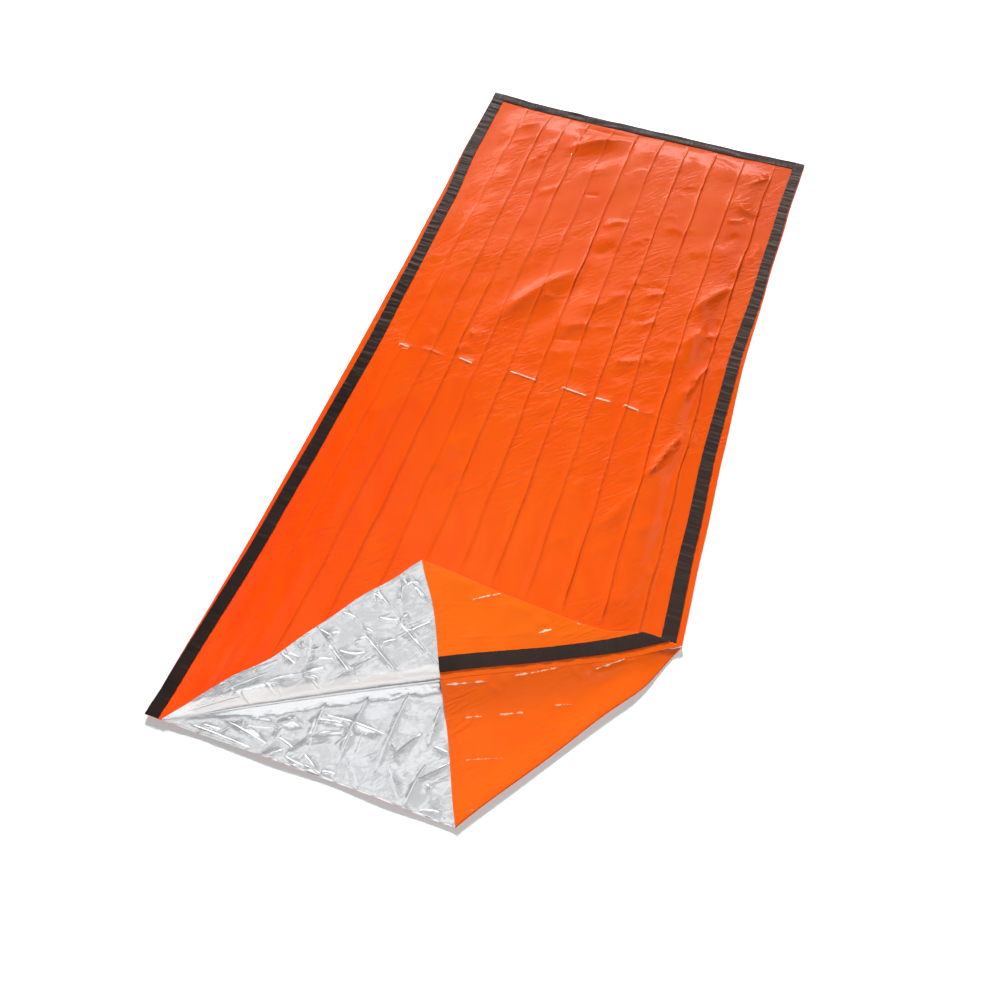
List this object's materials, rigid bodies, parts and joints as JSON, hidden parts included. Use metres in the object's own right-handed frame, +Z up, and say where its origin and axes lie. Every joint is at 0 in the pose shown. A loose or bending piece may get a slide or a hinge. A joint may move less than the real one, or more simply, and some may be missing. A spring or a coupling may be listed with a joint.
{
  "type": "emergency sleeping bag",
  "caption": "Rectangular emergency sleeping bag of glossy film, silver inside, black tape along its seams, lying flat with a corner of its open end turned back.",
  "frame": {"origin": "on the floor under the middle of the bag as it lies", "axes": "+Y along the bag from its open mouth to its closed foot, +X across it to the right as seen from the mouth, +Z up"},
  "size_m": [0.8999, 2.0047, 0.0246],
  "materials": {
    "film": "thin glossy film, bright orange outside and bright metallised silver inside, with packing creases",
    "tape": "thin black cloth tape with fine cross wrinkles and a slight sheen"
  },
  "bodies": {
    "root": {"bottom_panel": "film", "top_panel": "film", "left_tape": "tape", "right_tape": "tape", "foot_tape": "tape"}
  },
  "joints": []
}
